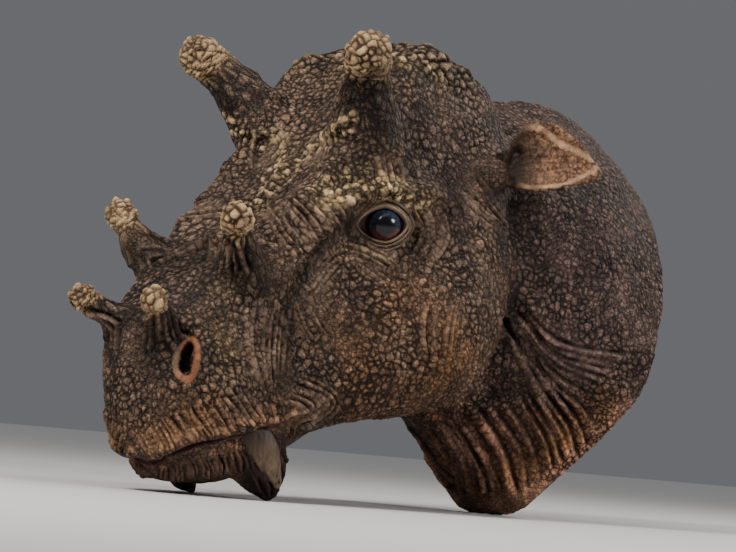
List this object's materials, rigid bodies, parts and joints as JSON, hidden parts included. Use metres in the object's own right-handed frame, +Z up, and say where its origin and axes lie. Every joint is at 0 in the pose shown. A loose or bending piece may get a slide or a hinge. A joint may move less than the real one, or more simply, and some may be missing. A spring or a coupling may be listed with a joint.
{
  "type": "uintatherium head sculpture",
  "caption": "Life-size head and neck of a rhinoceros-like extinct mammal, with pebbled hide, knob-tipped horns, glass eyes, cupped ears and a cut neck; stands on its jaw and neck.",
  "frame": {"origin": "on the ground below the middle of the object's box", "axes": "+Z up, -Y out of the snout, +X to the animal's left"},
  "size_m": [0.4942, 0.9058, 0.6248],
  "materials": {
    "hide": "painted cast resin, pebbled brown-grey hide with sandy horn tips",
    "eye": "dark polished glass",
    "tusk": "painted cast resin, finely striated greyish ivory"
  },
  "bodies": {
    "root": {"head_and_neck": "hide", "left_eye": "eye", "right_eye": "eye", "left_tusk": "tusk", "right_tusk": "tusk"}
  },
  "joints": []
}
